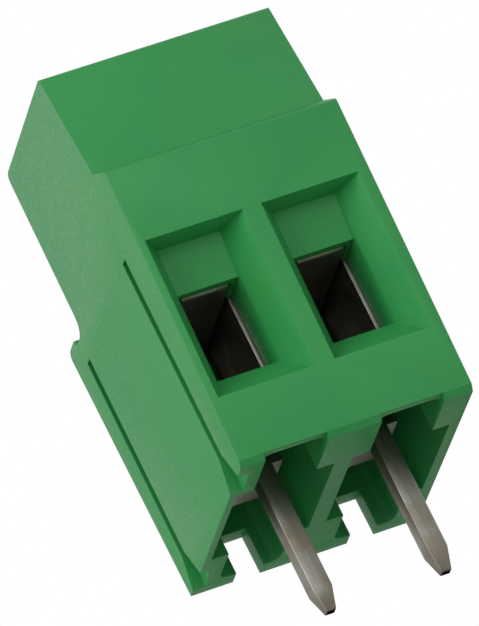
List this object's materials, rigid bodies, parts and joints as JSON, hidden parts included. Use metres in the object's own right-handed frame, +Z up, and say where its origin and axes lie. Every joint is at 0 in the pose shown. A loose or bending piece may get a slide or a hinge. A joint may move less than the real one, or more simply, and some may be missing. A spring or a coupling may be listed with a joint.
{
  "type": "pcb screw terminal",
  "caption": "Board-mounted screw terminal block with funnel wire entries, captive clamp screws that lift tapped clamp cages, and straight solder pins.",
  "frame": {"origin": "in the plane of the circuit board under the block, midway between the two clamp axes", "axes": "+X along the row of poles to the right seen from the wire side, +Y from the wire side to the back, +Z up from the board"},
  "size_m": [0.0106, 0.0125, 0.0238],
  "materials": {
    "housing_plastic": "fine satin, moulded polyamide",
    "screw_steel": "zinc plated",
    "cage_metal": "nickel plated",
    "tinned_contact": "dull tin over brass"
  },
  "bodies": {
    "housing": {"housing": "housing_plastic", "contact_bar_1": "tinned_contact", "contact_bar_2": "tinned_contact"},
    "screw_1": {"clamp_screw_1": "screw_steel"},
    "screw_2": {"clamp_screw_2": "screw_steel"},
    "cage_1": {"clamp_cage_1": "cage_metal"},
    "cage_2": {"clamp_cage_2": "cage_metal"}
  },
  "joints": [
    {"name": "screw_1_turn", "type": "hinge", "parent": "housing", "child": "screw_1", "pos_m": [-0.00254, 0, 0.0148], "axis": [0, 0, -1], "range_deg": [0, 2480]},
    {"name": "cage_1_lift", "type": "slide", "parent": "housing", "child": "cage_1", "axis": [0, 0, 1], "range_m": [0, 0.0031]},
    {"name": "screw_2_turn", "type": "hinge", "parent": "housing", "child": "screw_2", "pos_m": [0.00254, 0, 0.0148], "axis": [0, 0, -1], "range_deg": [0, 2480]},
    {"name": "cage_2_lift", "type": "slide", "parent": "housing", "child": "cage_2", "axis": [0, 0, 1], "range_m": [0, 0.0031]}
  ],
  "couplings": [
    {"joint": "screw_1_turn", "follows": "cage_1_lift", "rad_per_m": 13963},
    {"joint": "screw_2_turn", "follows": "cage_2_lift", "rad_per_m": 13963}
  ]
}
